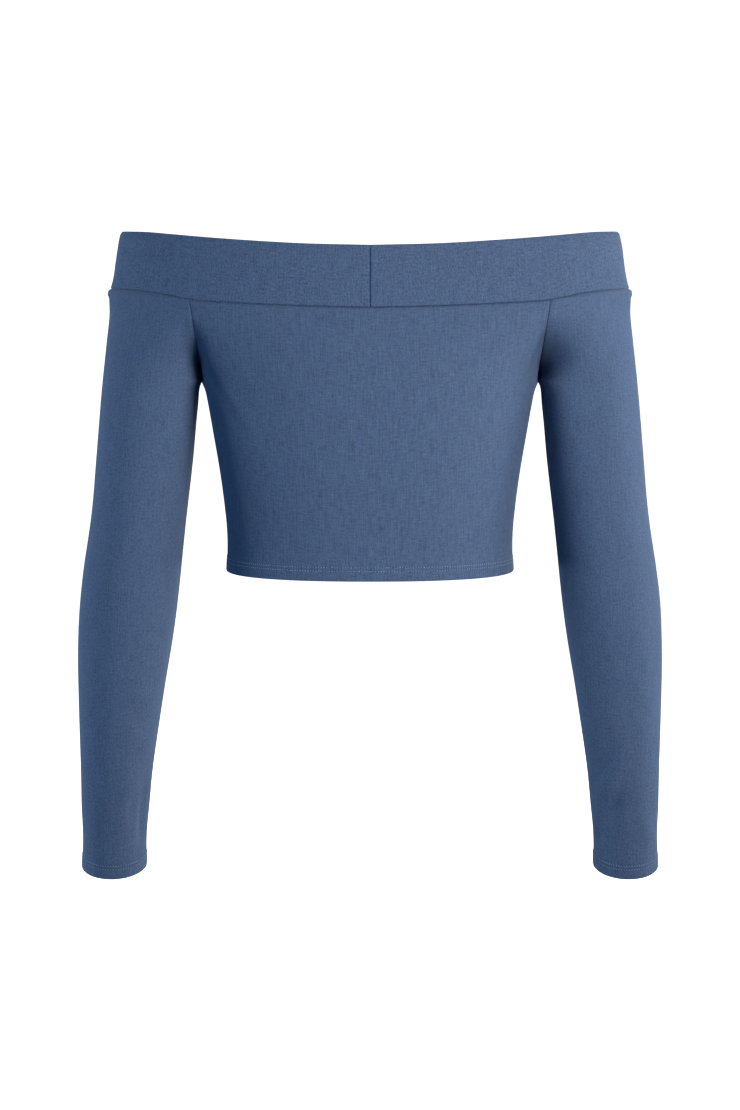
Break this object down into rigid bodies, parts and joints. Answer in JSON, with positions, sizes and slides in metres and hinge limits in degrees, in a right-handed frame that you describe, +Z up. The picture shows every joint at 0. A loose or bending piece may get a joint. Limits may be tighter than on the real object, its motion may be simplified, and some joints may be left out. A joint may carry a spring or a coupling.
{
  "type": "off-shoulder top",
  "caption": "Cropped off-shoulder jersey top with long fitted sleeves and a folded neck band worn round the upper arms; hollow, standing open as it is worn.",
  "frame": {"origin": "centre of the loop of the neck band, half way up the band where it grips the upper arms", "axes": "+X to the wearer's left, +Y to the back, +Z up along the body; the front faces -Y"},
  "size_m": [0.5424, 0.2043, 0.5969],
  "materials": {
    "jersey": "matt, heathered dusty denim blue stretch jersey"
  },
  "bodies": {
    "root": {"neck_band": "jersey", "front": "jersey", "back": "jersey", "sleeve_left": "jersey", "sleeve_right": "jersey"}
  },
  "joints": []
}
